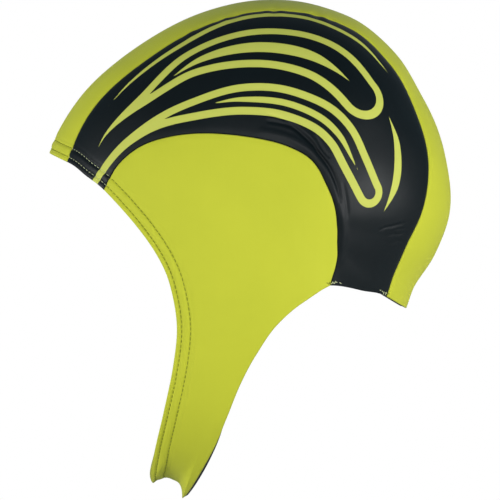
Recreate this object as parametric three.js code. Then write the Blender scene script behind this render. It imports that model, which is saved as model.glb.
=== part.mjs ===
// Neoprene swim hood with a chin strap, in the shape it has on a head. Millimetres, +Z up, face towards -Y.
// The origin is on the inside of the crown, where the top of the wearer's head touches it.
//
// Five panels of foam sheet are joined edge to edge: a centre strip from brow to nape, a side panel on each
// side of it, and below each side panel an ear panel that narrows into half of the chin strap. The two halves
// meet under the chin. The edge round the face is turned in and sewn, so it is about twice as thick there.
import * as THREE from "three";

const wall = 3; // foam with a jersey face on each side
const hemWidth = 9; // how far the face edge is turned in
const hemThickness = 5.4; // two layers, pressed by the stitching
const hemStep = 1.2; // the turned edge ends in a short slope
const seamGap = 0.3; // between neighbouring panels

const headBreadth = 156; // outside, over the ears
const earAxis = { y: 7, z: -99 }; // where the ear-to-ear axis crosses the side view

// The hood follows a head form. It is cut by half-planes that turn about the ear-to-ear axis, a row for each.
// angle: degrees from straight back, over the crown (90), the brow (165) and the chin (246)
// reach: from the axis to the outline in the side view
// fullness: 0 is an ellipse between the outline and the ear, above 0 is squarer, below 0 is leaner
// strip: half the width of the centre strip there, where the strip crosses it
const sections = [
  { angle: -57, reach: 80.0, fullness: -0.12, strip: 35.0 },
  { angle: -38, reach: 73.0, fullness: -0.16, strip: 37.6 },
  { angle: -28, reach: 70.3, fullness: -0.11, strip: 39.8 },
  { angle: -14, reach: 74.0, fullness: -0.12, strip: 43.0 },
  { angle: 0, reach: 78.1, fullness: -0.05, strip: 43.2 },
  { angle: 20, reach: 81.2, fullness: 0.05, strip: 37.8 },
  { angle: 40, reach: 85.9, fullness: 0.1, strip: 32.5 },
  { angle: 55, reach: 92.5, fullness: 0.12, strip: 30.5 },
  { angle: 70, reach: 98.4, fullness: 0.12, strip: 28.6 },
  { angle: 90, reach: 101.9, fullness: 0.12, strip: 28.4 },
  { angle: 110, reach: 103.6, fullness: 0.12, strip: 31.0 },
  { angle: 130, reach: 105.8, fullness: 0.12, strip: 33.4 },
  { angle: 150, reach: 112.0, fullness: 0.11, strip: 33.4 },
  { angle: 165.4, reach: 115.6, fullness: 0.1, strip: 34.6 },
  { angle: 185, reach: 117.0, fullness: 0.06, strip: 35.0 },
  { angle: 205, reach: 121.0, fullness: 0.03, strip: 35.0 },
  { angle: 225, reach: 130.0, fullness: 0.06, strip: 35.0 },
  { angle: 246, reach: 136.6, fullness: 0.1, strip: 35.0 },
  { angle: 262, reach: 131.0, fullness: 0.06, strip: 35.0 },
  { angle: 280, reach: 108.0, fullness: -0.05, strip: 35.0 },
];

// Under the chin the bent strap turns its edges down, so that there is a shallow valley along its middle.
const strapValley = {
  middle: 247.3, // angle of the highest line of the valley
  frontSpan: 3.4, // degrees from there to the front edge, where the drop is whole
  frontDrop: 5.6,
  backSpan: 2.8, // and to the back edge
  backDrop: 7.0,
  sharpness: 3, // how suddenly the edges turn down
  fadeOut: 45, // the valley is gone this far from the middle of the chin
  furthest: 20, // degrees from its highest line, well outside the strap, past which there is no drop
  wallLean: 4.3, // the wall leans forward at the front edge, as if the form dropped this much there
};

// Outlines of the outer surface. A point is { y, z } in the side view, { middle } an angle on the middle
// plane, or { seam } an angle on the seam between the centre strip and a side panel.
const faceEdge = [
  { middle: 165.4 }, // brow
  { seam: 166.5 },
  { y: -86.3, z: -81.2 },
  { y: -77.9, z: -87.8 }, // end of the seam between side and ear panel
  { y: -65.3, z: -101.4 },
  { y: -54.2, z: -116.2 },
  { y: -46.6, z: -133.2 },
  { y: -43.7, z: -151.0 },
  { y: -45.6, z: -170.5 },
  { y: -49.7, z: -190.0 },
  { y: -53.9, z: -208.0 },
  { middle: 243.8 }, // chin
];
const faceEdgeAtStrip = 1;
const faceEdgeAtEar = 3;

const napeEdge = [
  { middle: -37.6 },
  { seam: -38.9 },
  { y: 42.0, z: -134.6 },
  { y: 28.1, z: -132.4 }, // end of the seam between side and ear panel
];
const napeEdgeAtStrip = 1;

const jawEdge = [
  { y: 28.1, z: -132.4 },
  { y: 15.0, z: -140.4 },
  { y: 3.4, z: -150.4 },
  { y: -6.0, z: -163.6 },
  { y: -14.0, z: -178.6 },
  { y: -20.7, z: -195.1 },
  { y: -28.0, z: -212.0 },
  { middle: 250.1 }, // chin
];

const earSeam = [
  { y: -77.9, z: -87.8 },
  { y: -70.8, z: -75.6 },
  { y: -60.0, z: -67.0 },
  { y: -45.4, z: -62.6 },
  { y: -28.0, z: -61.4 },
  { y: -10.0, z: -63.2 },
  { y: 8.0, z: -67.6 },
  { y: 21.3, z: -76.6 },
  { y: 28.2, z: -90.2 },
  { y: 30.8, z: -101.4 },
  { y: 31.2, z: -111.6 },
  { y: 30.7, z: -123.0 },
  { y: 28.1, z: -132.4 },
];

// Faces: steps along the seams from the face edge to the nape, and across each kind of panel.
const steps = { long: 27, strip: 8, side: 7, ear: 24 };
const chinCrowding = 1.25; // above 1, the ear panel's steps are shorter near the chin
const earSeamFade = 3; // how soon the ear panel's grid straightens below the curve of the ear seam

const lime = new THREE.MeshStandardMaterial({ color: 0xc6cc42, roughness: 0.75, metalness: 0 });
const black = new THREE.MeshStandardMaterial({ color: 0x262e31, roughness: 0.5, metalness: 0 });

// A column of the sections table at any angle: a smooth curve through its rows that closes on itself.
function sectionValue(column, angle) {
  const n = sections.length;
  const row = (i) => sections[((i % n) + n) % n];
  const rowAngle = (i) => row(i).angle + 360 * Math.floor(i / n);
  const slope = (i) => (row(i + 1)[column] - row(i - 1)[column]) / (rowAngle(i + 1) - rowAngle(i - 1));
  const a = THREE.MathUtils.euclideanModulo(angle - sections[0].angle, 360) + sections[0].angle;
  let i = 0;
  while (rowAngle(i + 1) <= a) i++;
  const span = rowAngle(i + 1) - rowAngle(i);
  const t = (a - rowAngle(i)) / span;
  const s = 1 - t;
  return (
    s * s * (1 + 2 * t) * row(i)[column] +
    t * t * (1 + 2 * s) * row(i + 1)[column] +
    s * s * t * span * slope(i) -
    t * t * s * span * slope(i + 1)
  );
}

const offValley = (angle) => THREE.MathUtils.euclideanModulo(angle - strapValley.middle + 180, 360) - 180;
const chinFade = (x) => (1 + Math.cos(Math.PI * Math.min(1, Math.abs(x) / strapValley.fadeOut))) / 2;

// How far the strap's outer face drops below the head form, x millimetres from the middle plane.
function valleyDrop(angle, x) {
  const v = strapValley;
  const off = offValley(angle);
  if (Math.abs(off) > v.furthest) return 0;
  const [span, drop] = off < 0 ? [v.frontSpan, v.frontDrop] : [v.backSpan, v.backDrop];
  return drop * Math.min(1, Math.abs(off) / span) ** v.sharpness * chinFade(x);
}

// The drop that the wall's lean follows instead: a parabola in front of the valley, with the same fade.
function wallDrop(angle, x) {
  const off = offValley(angle);
  if (off > 0 || off < -strapValley.furthest) return 0;
  return strapValley.wallLean * (off / strapValley.frontSpan) ** 2 * chinFade(x);
}

// The head form is laid out flat as a disc: its centre is the ear, its rim (radius 1) is the middle plane,
// and the far side of the head lies beyond the rim. The direction from the centre is the section's angle.
function formPoint(flat, dropAt = valleyDrop) {
  const angle = Math.atan2(flat.y, flat.x);
  const degrees = THREE.MathUtils.radToDeg(angle);
  const turn = (Math.hypot(flat.x, flat.y) * Math.PI) / 2;
  const out = Math.sin(turn);
  const x = (headBreadth / 2) * Math.cos(turn) * (1 + sectionValue("fullness", degrees) * out * out);
  const r = out * (sectionValue("reach", degrees) + dropAt(degrees, x));
  return new THREE.Vector3(x, earAxis.y + r * Math.cos(angle), earAxis.z + r * Math.sin(angle));
}

// The direction of the wall's thickness, away from the head.
function wallDirection(flat) {
  const d = 1e-4;
  const at = (dx, dy) => formPoint(new THREE.Vector2(flat.x + dx, flat.y + dy), wallDrop);
  const across = at(d, 0).sub(at(-d, 0));
  const up = at(0, d).sub(at(0, -d));
  return across.cross(up).normalize();
}

const onDisc = (degrees, radius) =>
  new THREE.Vector2(radius, 0).rotateAround(new THREE.Vector2(), THREE.MathUtils.degToRad(degrees));

// The place on the disc of an outline's point. For { y, z }, radii are tried until the form reaches that far.
function discFromOutline({ y, z, middle: onMiddle, seam }) {
  if (onMiddle !== undefined) return onDisc(onMiddle, 1);
  if (seam !== undefined) return discFromWidth(seam, sectionValue("strip", seam));
  const degrees = THREE.MathUtils.radToDeg(Math.atan2(z - earAxis.z, y - earAxis.y));
  const wanted = Math.hypot(y - earAxis.y, z - earAxis.z);
  let [low, high] = [0, 1];
  for (let i = 0; i < 40; i++) {
    const middle = (low + high) / 2;
    const p = formPoint(onDisc(degrees, middle));
    if (Math.hypot(p.y - earAxis.y, p.z - earAxis.z) < wanted) low = middle;
    else high = middle;
  }
  return onDisc(degrees, low);
}

// The place on the disc where the section at this angle is x millimetres from the middle plane.
function discFromWidth(degrees, x) {
  let [low, high] = [0, 2];
  for (let i = 0; i < 40; i++) {
    const middle = (low + high) / 2;
    if (formPoint(onDisc(degrees, middle)).x > x) low = middle;
    else high = middle;
  }
  return onDisc(degrees, low);
}

// An outline as a curve on the disc, from one of its points to another.
function outline(points, first = 0, last = points.length - 1) {
  const curve = new THREE.SplineCurve(points.map(discFromOutline));
  const n = points.length - 1;
  return (t) => curve.getPoint((first + (last - first) * t) / n);
}

// The lines that run along the strip: side is 1 at one seam, 0 on the middle plane and -1 at the other seam.
function stripLine(t, side) {
  const end = (edge) => THREE.MathUtils.lerp(edge[0].middle, edge[1].seam, side * side);
  const degrees = THREE.MathUtils.lerp(end(faceEdge), end(napeEdge), t);
  return discFromWidth(degrees, side * sectionValue("strip", degrees));
}

// Stations from 0 to 1 along a line on the disc: the hem's lines first, and the rest evenly spaced.
const hemLines = [0, hemWidth / 2, hemWidth, hemWidth + hemStep];
function stations(line) {
  const samples = 400;
  const lengths = [0];
  let last = formPoint(line(0));
  for (let i = 1; i <= samples; i++) {
    const p = formPoint(line(i / samples));
    lengths.push(lengths[i - 1] + p.distanceTo(last));
    last = p;
  }
  const rest = steps.long + 1 - hemLines.length;
  const left = lengths[samples] - hemLines.at(-1);
  const distances = [...hemLines];
  for (let i = 1; i <= rest; i++) distances.push(hemLines.at(-1) + (left * i) / rest);
  return distances.map((d) => {
    const i = THREE.MathUtils.clamp(lengths.findIndex((l) => l >= d) - 1, 0, samples - 1);
    return (i + (d - lengths[i]) / (lengths[i + 1] - lengths[i])) / samples;
  });
}

const alongLine = (line) => stations(line).map(line);
const shares = (count, crowding = 1) =>
  Array.from({ length: count + 1 }, (_, i) => 1 - (1 - i / count) ** crowding);

// A grid of points on the disc between two lines of stations and two outlines, which all share their corners.
// topFade: above 1, the top line's curve shapes less of the grid.
function patch(top, bottom, frontLine, backLine, across, topFade = 1) {
  const front = across.map(frontLine);
  const back = across.map(backLine);
  const share = top.map((p, i) => (i === 0 ? 0 : p.distanceTo(top[0]) + bottom[i].distanceTo(bottom[0])));
  const whole = share.at(-1);
  return top.map((_, i) =>
    across.map((v, j) => {
      const u = share[i] / whole;
      const away = 1 - (1 - v) ** topFade;
      const mix = (a, b, s) => a.clone().lerp(b, s);
      const corners = mix(mix(top[0], top.at(-1), u), mix(bottom[0], bottom.at(-1), u), away);
      return mix(top[i], bottom[i], away).add(mix(front[j], back[j], u)).sub(corners);
    }),
  );
}

// A panel of foam sheet over a grid of points on the disc. The grid's first rows lie on the hem of the face
// edge, and its first and last columns are seams, so they are drawn back by half the gap.
function panelGeometry(grid) {
  const [nu, nv] = [grid.length, grid[0].length];
  const surface = grid.map((row) => row.map((p) => formPoint(p)));
  const outward = grid.map((row) => row.map(wallDirection));
  const drawnBack = (i, j, neighbour) => {
    const along = surface[Math.min(nu - 1, i + 1)][j].clone().sub(surface[Math.max(0, i - 1)][j]);
    const inward = along.cross(outward[i][j]).normalize();
    if (inward.dot(surface[i][neighbour].clone().sub(surface[i][j])) < 0) inward.negate();
    return surface[i][j].clone().addScaledVector(inward, seamGap / 2);
  };
  const trimmed = surface.map((row, i) =>
    row.map((p, j) => {
      if (j === 0) return drawnBack(i, j, 1);
      return j === nv - 1 ? drawnBack(i, j, nv - 2) : p;
    }),
  );
  const hemRows = hemLines.filter((distance) => distance <= hemWidth).length;
  const outer = trimmed.flat();
  const inner = trimmed.flatMap((row, i) =>
    row.map((p, j) => p.clone().addScaledVector(outward[i][j], i < hemRows ? -hemThickness : -wall)),
  );
  return closedSheet([...outer, ...inner].flatMap((p) => p.toArray()), nu, nv);
}

// Joins an outer and an inner grid of nu by nv points into one closed body with its faces pointing out.
function closedSheet(positions, nu, nv) {
  const index = [];
  const outer = (i, j) => i * nv + j;
  const inner = (i, j) => nu * nv + i * nv + j;
  const quad = (a, b, c, d) => index.push(a, c, b, a, d, c);
  for (let i = 0; i < nu - 1; i++)
    for (let j = 0; j < nv - 1; j++) {
      quad(outer(i, j), outer(i + 1, j), outer(i + 1, j + 1), outer(i, j + 1));
      quad(inner(i, j), inner(i, j + 1), inner(i + 1, j + 1), inner(i + 1, j));
    }
  for (let i = 0; i < nu - 1; i++) {
    quad(outer(i, 0), inner(i, 0), inner(i + 1, 0), outer(i + 1, 0));
    quad(outer(i, nv - 1), outer(i + 1, nv - 1), inner(i + 1, nv - 1), inner(i, nv - 1));
  }
  for (let j = 0; j < nv - 1; j++) {
    quad(outer(0, j), outer(0, j + 1), inner(0, j + 1), inner(0, j));
    quad(outer(nu - 1, j), inner(nu - 1, j), inner(nu - 1, j + 1), outer(nu - 1, j + 1));
  }
  return new THREE.BufferGeometry()
    .setAttribute("position", new THREE.Float32BufferAttribute(positions, 3))
    .setIndex(index);
}

// The same body on the other side of the middle plane, with its faces turned round again.
function mirrored(geometry) {
  const copy = geometry.clone().scale(-1, 1, 1);
  const index = copy.index.array;
  for (let i = 0; i < index.length; i += 3) [index[i + 1], index[i + 2]] = [index[i + 2], index[i + 1]];
  return copy;
}

function centreStrip() {
  const along = stations((t) => stripLine(t, 1));
  const sides = Array.from({ length: steps.strip + 1 }, (_, j) => (2 * j) / steps.strip - 1);
  const grid = along.map((t) => sides.map((side) => stripLine(t, side)));
  return panelGeometry(grid);
}

function sidePanel() {
  const top = alongLine((t) => stripLine(t, 1));
  const bottom = alongLine(outline(earSeam));
  const front = outline(faceEdge, faceEdgeAtStrip, faceEdgeAtEar);
  const back = outline(napeEdge, napeEdgeAtStrip);
  return panelGeometry(patch(top, bottom, front, back, shares(steps.side)));
}

// The ear panel's grid runs from the face edge to the jaw edge, and from the ear seam down to the chin.
function earPanel() {
  const top = alongLine(outline(earSeam));
  const chin = (t) => THREE.MathUtils.lerp(faceEdge.at(-1).middle, jawEdge.at(-1).middle, t);
  const bottom = alongLine((t) => onDisc(chin(t), 1));
  const front = outline(faceEdge, faceEdgeAtEar);
  const across = shares(steps.ear, chinCrowding);
  return panelGeometry(patch(top, bottom, front, outline(jawEdge), across, earSeamFade));
}

function piece(name, geometry, material) {
  const mesh = new THREE.Mesh(geometry, material);
  mesh.name = name;
  return mesh;
}

const side = sidePanel();
const ear = earPanel();
const hood = new THREE.Group();
hood.add(
  piece("centre_strip", centreStrip(), lime),
  piece("side_panel_left", side, black),
  piece("side_panel_right", mirrored(side), black),
  piece("ear_panel_left", ear, lime),
  piece("ear_panel_right", mirrored(ear), lime),
);

export default hood;
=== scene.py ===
import bpy
import numpy as np
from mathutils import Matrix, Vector


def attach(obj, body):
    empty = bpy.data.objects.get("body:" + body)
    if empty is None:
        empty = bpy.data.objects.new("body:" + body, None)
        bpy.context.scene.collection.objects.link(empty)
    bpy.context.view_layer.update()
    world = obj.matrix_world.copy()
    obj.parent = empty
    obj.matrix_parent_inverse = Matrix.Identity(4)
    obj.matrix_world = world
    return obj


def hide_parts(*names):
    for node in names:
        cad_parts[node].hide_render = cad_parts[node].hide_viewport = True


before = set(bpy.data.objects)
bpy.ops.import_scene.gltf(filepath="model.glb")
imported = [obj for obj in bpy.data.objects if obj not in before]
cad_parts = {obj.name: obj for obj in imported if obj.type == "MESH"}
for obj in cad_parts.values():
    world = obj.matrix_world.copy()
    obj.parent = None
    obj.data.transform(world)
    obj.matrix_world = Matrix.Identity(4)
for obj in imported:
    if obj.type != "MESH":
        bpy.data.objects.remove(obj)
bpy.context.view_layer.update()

# ---- camera, floor and light
cameraPlace = {"distance": 3.0, "lens": 454.7, "aim": (0.0, -0.0095, -0.11575)}
studio = {
    "floorHeight": -0.36,
    "floorSize": 6.0,
    "paper": (0.72, 0.72, 0.71, 1),
    "paperPale": (0.9, 0.9, 0.89, 1),  # it clouds over to this
    "paperGrain": {"Scale": 3.0, "Detail": 3.0},
    "paperRoughness": 0.9,
    "skySeen": (1.0, 1.0, 1.0, 1),  # the colour of the background
    "skyLight": (0.125, 0.172, 0.198, 1),  # and the light it gives, a little blue
}
# place and size in metres, power in watts
lights = {
    "keyLight": {"place": (0.95, 1.5, -0.14), "size": (1.0, 0.7), "power": 28.8},
    "frontLight": {"place": (2.7, -0.3, -0.15), "size": (1.6, 1.6), "power": 36.5},
    "faceLight": {"place": (0.6, -1.8, -0.20), "size": (0.9, 1.2), "power": 32.5},
    "farLight": {"place": (-1.9, 0.3, 0.50), "size": (1.6, 1.6), "power": 3.5},
}


def addToScene(thing):
    bpy.context.scene.collection.objects.link(thing)
    return thing


def placeCamera():
    bpy.context.scene.view_settings.view_transform = "Standard"
    camera = addToScene(bpy.data.objects.new("camera", bpy.data.cameras.new("camera")))
    camera.data.lens = cameraPlace["lens"]
    camera.data.clip_end = 10 * studio["floorSize"]
    camera.location = Vector(cameraPlace["aim"]) + Vector((cameraPlace["distance"], 0, 0))
    camera.rotation_euler = Vector((-1, 0, 0)).to_track_quat("-Z", "Y").to_euler()
    bpy.context.scene.camera = camera


def placeLights():
    aim = Vector(cameraPlace["aim"])
    for name, light in lights.items():
        lamp = bpy.data.lights.new(name, "AREA")
        lamp.shape = "RECTANGLE"
        lamp.size, lamp.size_y = light["size"]
        lamp.energy = light["power"]
        holder = addToScene(bpy.data.objects.new(name, lamp))
        holder.location = light["place"]
        holder.rotation_euler = (aim - holder.location).to_track_quat("-Z", "Y").to_euler()


# inputs: under each socket's name or number its value, or the socket that feeds it
def addNode(tree, kind, inputs=(), **settings):
    node = tree.nodes.new(kind)
    for name, value in settings.items():
        setattr(node, name, value)
    for socket, value in dict(inputs).items():
        if isinstance(value, bpy.types.NodeSocket):
            tree.links.new(value, node.inputs[socket])
        else:
            node.inputs[socket].default_value = value
    return node


def mixColour(tree, factor, a, b):
    return addNode(tree, "ShaderNodeMix", {0: factor, 6: a, 7: b}, data_type="RGBA").outputs[2]


# shader: the values of the surface's own sockets
def newMaterial(name, shader):
    material = bpy.data.materials.new(name)
    material.use_nodes = True
    surface = material.node_tree.nodes["Principled BSDF"]
    for socket, value in shader.items():
        surface.inputs[socket].default_value = value
    return material, material.node_tree, surface


def paintSky():
    world = bpy.data.worlds.new("studioAir")
    world.use_nodes = True
    bpy.context.scene.world = world
    tree = world.node_tree
    tree.nodes.clear()
    lightPath = addNode(tree, "ShaderNodeLightPath")
    shown = addNode(tree, "ShaderNodeBackground", {"Color": studio["skySeen"]})
    felt = addNode(tree, "ShaderNodeBackground", {"Color": studio["skyLight"]})
    seen = lightPath.outputs["Is Camera Ray"]
    mixed = addNode(tree, "ShaderNodeMixShader", {0: seen, 1: felt.outputs[0], 2: shown.outputs[0]})
    addNode(tree, "ShaderNodeOutputWorld", {"Surface": mixed.outputs[0]})


def layFloor():
    half = studio["floorSize"] / 2
    mesh = bpy.data.meshes.new("floor")
    corners = [(-half, -half), (half, -half), (half, half), (-half, half)]
    mesh.from_pydata([(x, y, studio["floorHeight"]) for x, y in corners], [], [(0, 1, 2, 3)])
    floor = addToScene(bpy.data.objects.new("floor", mesh))
    paper, tree, surface = newMaterial("floorPaper", {"Roughness": studio["paperRoughness"]})
    grain = addNode(tree, "ShaderNodeTexNoise", studio["paperGrain"])
    tone = mixColour(tree, grain.outputs[0], studio["paper"], studio["paperPale"])
    tree.links.new(tone, surface.inputs["Base Color"])
    mesh.materials.append(paper)


placeCamera()
placeLights()
paintSky()
layFloor()
print("studio set up")

# ---- the head form
# It is cut by half-planes that turn about the ear-to-ear axis, a row for each.
# angle: degrees from straight back, over the crown (90), the brow (165) and the chin (246)
# reach: from the axis to the outline; fullness: above 0 squarer than an ellipse, below 0 leaner
# strip: half the width of the centre strip there
headForm = {
    "breadth": 156.0,
    "axisY": 7.0,
    "axisZ": -99.0,
    "sections": np.array([
        (-57, 80.0, -0.12, 35.0),
        (-38, 73.0, -0.16, 37.6),
        (-28, 70.3, -0.11, 39.8),
        (-14, 74.0, -0.12, 43.0),
        (0, 78.1, -0.05, 43.2),
        (20, 81.2, 0.05, 37.8),
        (40, 85.9, 0.1, 32.5),
        (55, 92.5, 0.12, 30.5),
        (70, 98.4, 0.12, 28.6),
        (90, 101.9, 0.12, 28.4),
        (110, 103.6, 0.12, 31.0),
        (130, 105.8, 0.12, 33.4),
        (150, 112.0, 0.11, 33.4),
        (165.4, 115.6, 0.1, 34.6),
        (185, 117.0, 0.06, 35.0),
        (205, 121.0, 0.03, 35.0),
        (225, 130.0, 0.06, 35.0),
        (246, 136.6, 0.1, 35.0),
        (262, 131.0, 0.06, 35.0),
        (280, 108.0, -0.05, 35.0),
    ]),
    # under the chin the bent strap turns its edges down, spans in degrees from the valley's middle
    "valleyMiddle": 247.3,
    "frontSpan": 3.4,
    "frontDrop": 5.6,
    "backSpan": 2.8,
    "backDrop": 7.0,
    "sharpness": 3,
    "fadeOut": 45.0,
    "furthest": 20.0,
    "wallLean": 4.3,  # the wall leans forward at the strap's front edge, as if the form dropped by this
}
reach, fullness, stripWidth = 1, 2, 3  # columns of the table

# Outlines of the outer surface: (y, z) in the side view, ("middle", angle) on the middle plane,
# or ("seam", angle) on the seam of the centre strip.
faceEdge = [
    ("middle", 165.4), ("seam", 166.5), (-86.3, -81.2), (-77.9, -87.8), (-65.3, -101.4), (-54.2, -116.2),
    (-46.6, -133.2), (-43.7, -151.0), (-45.6, -170.5), (-49.7, -190.0), (-53.9, -208.0), ("middle", 243.8),
]
napeEdge = [("middle", -37.6), ("seam", -38.9), (42.0, -134.6), (28.1, -132.4)]
jawEdge = [
    (28.1, -132.4), (15.0, -140.4), (3.4, -150.4), (-6.0, -163.6), (-14.0, -178.6), (-20.7, -195.1),
    (-28.0, -212.0), ("middle", 250.1),
]
earSeam = [
    (-77.9, -87.8), (-70.8, -75.6), (-60.0, -67.0), (-45.4, -62.6), (-28.0, -61.4), (-10.0, -63.2),
    (8.0, -67.6), (21.3, -76.6), (28.2, -90.2), (30.8, -101.4), (31.2, -111.6), (30.7, -123.0),
    (28.1, -132.4),
]

closedRows = np.concatenate([headForm["sections"][-1:], headForm["sections"], headForm["sections"][:2]])
closedRows[0, 0] -= 360
closedRows[-2:, 0] += 360


def unit(vectors):
    return vectors / np.maximum(np.linalg.norm(vectors, axis=-1, keepdims=True), 1e-12)


# From 0 to 1 without a corner at either end: 3 squares less 2 cubes.
def ease(t):
    t = np.clip(t, 0, 1)
    return t * t * (3 - 2 * t)


# A column of the table at any angle: a cubic through neighbouring rows, whose slope at a row is that
# from the row before it to the row after it.
def sectionValue(column, degrees):
    angles, values = closedRows[:, 0], closedRows[:, column]
    slopes = (values[2:] - values[:-2]) / (angles[2:] - angles[:-2])
    turned = np.mod(degrees - angles[1], 360) + angles[1]
    row = np.clip(np.searchsorted(angles, turned, side="right") - 1, 1, len(angles) - 3)
    span = angles[row + 1] - angles[row]
    t = (turned - angles[row]) / span
    s = 1 - t
    return (
        s * s * (1 + 2 * t) * values[row]
        + t * t * (1 + 2 * s) * values[row + 1]
        + s * s * t * span * slopes[row - 1]
        - t * t * s * span * slopes[row]
    )


def offValley(degrees):
    return np.mod(degrees - headForm["valleyMiddle"] + 180, 360) - 180


def chinFade(x):
    return (1 + np.cos(np.pi * np.clip(x / headForm["fadeOut"], -1, 1))) / 2


# The strap's drop is its whole drop times (degrees off the valley over the span) to the power sharpness,
# and fades as a half cosine with the distance x from the middle plane.
def valleyDrop(degrees, x):
    off = offValley(degrees)
    span = np.where(off < 0, headForm["frontSpan"], headForm["backSpan"])
    drop = np.where(off < 0, headForm["frontDrop"], headForm["backDrop"])
    share = np.minimum(1, np.abs(off) / span) ** headForm["sharpness"]
    return np.where(np.abs(off) > headForm["furthest"], 0, drop * share * chinFade(x))


# A parabola of the degrees in front of the valley, with the same fade.
def wallDrop(degrees, x):
    off = offValley(degrees)
    drop = headForm["wallLean"] * (off / headForm["frontSpan"]) ** 2 * chinFade(x)
    return np.where((off > 0) | (off < -headForm["furthest"]), 0, drop)


# The form laid out flat as a disc: the centre is the ear, the rim is the middle plane. The direction from
# the centre is the section's angle, and the radius is the turn from the ear, 1 for a quarter turn.
# x is half the breadth times the turn's cosine, and the section's reach is times its sine.
def formPoint(flat, dropAt=valleyDrop):
    angle = np.arctan2(flat[..., 1], flat[..., 0])
    degrees = np.degrees(angle)
    turn = np.hypot(flat[..., 0], flat[..., 1]) * np.pi / 2
    out = np.sin(turn)
    x = headForm["breadth"] / 2 * np.cos(turn) * (1 + sectionValue(fullness, degrees) * out * out)
    r = out * (sectionValue(reach, degrees) + dropAt(degrees, x))
    return np.stack([x, headForm["axisY"] + r * np.cos(angle), headForm["axisZ"] + r * np.sin(angle)], -1)


# How the form moves for a step of 1 on the disc, from the difference over a small step to both sides.
def formSlopes(flat, dropAt=valleyDrop):
    d = 1e-4
    east, north = np.array([d, 0.0]), np.array([0.0, d])
    return (
        (formPoint(flat + east, dropAt) - formPoint(flat - east, dropAt)) / (2 * d),
        (formPoint(flat + north, dropAt) - formPoint(flat - north, dropAt)) / (2 * d),
    )


def formNormal(flat, dropAt=valleyDrop):
    return unit(np.cross(*formSlopes(flat, dropAt)))


def onDisc(degrees, radius):
    angle = np.radians(degrees)
    return np.stack([radius * np.cos(angle), radius * np.sin(angle)], -1)


halvings = 40  # enough for a place on the disc to be exact


# Halves the range of radii from 0 to high until it holds only the last place that is still inside.
def lastInside(degrees, inside, high):
    low = np.zeros_like(high)
    for _ in range(halvings):
        middle = (low + high) / 2
        near = inside(formPoint(onDisc(degrees, middle)))
        low, high = np.where(near, middle, low), np.where(near, high, middle)
    return onDisc(degrees, low)


def fromAxis(y, z):
    return y - headForm["axisY"], z - headForm["axisZ"]


# The place on the disc for one in the side view.
def discFromSideView(y, z):
    out, up = fromAxis(y, z)
    wanted = np.hypot(out, up)
    return lastInside(
        np.degrees(np.arctan2(up, out)),
        lambda point: np.hypot(*fromAxis(point[..., 1], point[..., 2])) < wanted,
        np.ones_like(wanted),
    )


# The same for a place x millimetres from the middle plane, where the radius may pass the rim.
def discFromWidth(degrees, x):
    return lastInside(degrees, lambda point: point[..., 0] > x, np.full_like(degrees * x, 2.0))


def outlinePoint(point):
    kind, value = point
    if kind == "middle":
        return onDisc(value, 1.0)
    if kind == "seam":
        return discFromWidth(np.array(float(value)), sectionValue(stripWidth, value))
    return discFromSideView(np.array(float(kind)), np.array(float(value)))


# A smooth line through the knots: cubic pieces whose slope at a knot is half the step between its neighbours.
def smoothLine(knots):
    def line(place):
        last = len(knots) - 1
        i = np.clip(np.floor(place).astype(int), 0, last - 1)
        t = (place - i).reshape(np.shape(place) + (1,) * (knots.ndim - 1))
        before, a = knots[np.maximum(i - 1, 0)], knots[i]
        b, after = knots[i + 1], knots[np.minimum(i + 2, last)]
        slopeA, slopeB = (b - before) / 2, (after - a) / 2
        cube, square = 2 * a - 2 * b + slopeA + slopeB, -3 * a + 3 * b - 2 * slopeA - slopeB
        return cube * t**3 + square * t**2 + slopeA * t + a

    return line


# The line through an outline's points, from the one numbered first (0) to the last (1).
def outline(points, first=0):
    line = smoothLine(np.array([outlinePoint(p) for p in points]))
    return lambda t: line(first + (len(points) - 1 - first) * np.asarray(t, float))


# The lines along the strip: side is 1 at one seam, 0 on the middle plane and -1 at the other seam.
def stripLine(t, side):
    def end(edge):
        return edge[0][1] + (edge[1][1] - edge[0][1]) * side * side

    degrees = end(faceEdge) + (end(napeEdge) - end(faceEdge)) * np.asarray(t, float)
    return discFromWidth(degrees, side * sectionValue(stripWidth, degrees))


def lengthsAlong(points, axis=0):
    steps = np.linalg.norm(np.diff(points, axis=axis), axis=-1)
    start = np.zeros_like(np.take(steps, [0], axis=axis))
    return np.concatenate([start, np.cumsum(steps, axis=axis)], axis=axis)


# How far each point is from a dense line, and the nearest place's share of the line's length.
def distanceToLine(points, line):
    flatPoints = points.reshape(-1, 3)
    along = lengthsAlong(line)
    tangent = unit(np.gradient(line, axis=0))
    reachBack = np.concatenate([[0], np.diff(along)]) / 2
    reachOn = np.concatenate([np.diff(along), [0]]) / 2
    distance, share = np.empty(len(flatPoints)), np.empty(len(flatPoints))
    squares = (line**2).sum(1)
    batch = 4000  # points at a time, because each is set against the whole line
    for start in range(0, len(flatPoints), batch):
        part = slice(start, start + batch)
        nearest = np.argmin(squares - 2 * flatPoints[part] @ line.T, axis=1)
        off = flatPoints[part] - line[nearest]
        slide = np.clip((off * tangent[nearest]).sum(1), -reachBack[nearest], reachOn[nearest])
        distance[part] = np.linalg.norm(off - slide[:, None] * tangent[nearest], axis=1)
        share[part] = (along[nearest] + slide) / along[-1]
    return distance.reshape(points.shape[:-1]), share.reshape(points.shape[:-1])


# how many places dense lines have
lineCounts = {"faceEdge": 1600, "edge": 1400, "crease": 500, "print": 900, "walk": 4001}
halfFaceEdge = formPoint(outline(faceEdge)(np.linspace(0, 1, lineCounts["faceEdge"])))
wholeFaceEdge = np.concatenate([halfFaceEdge[:0:-1] * (-1, 1, 1), halfFaceEdge])
print("head form laid out")

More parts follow.
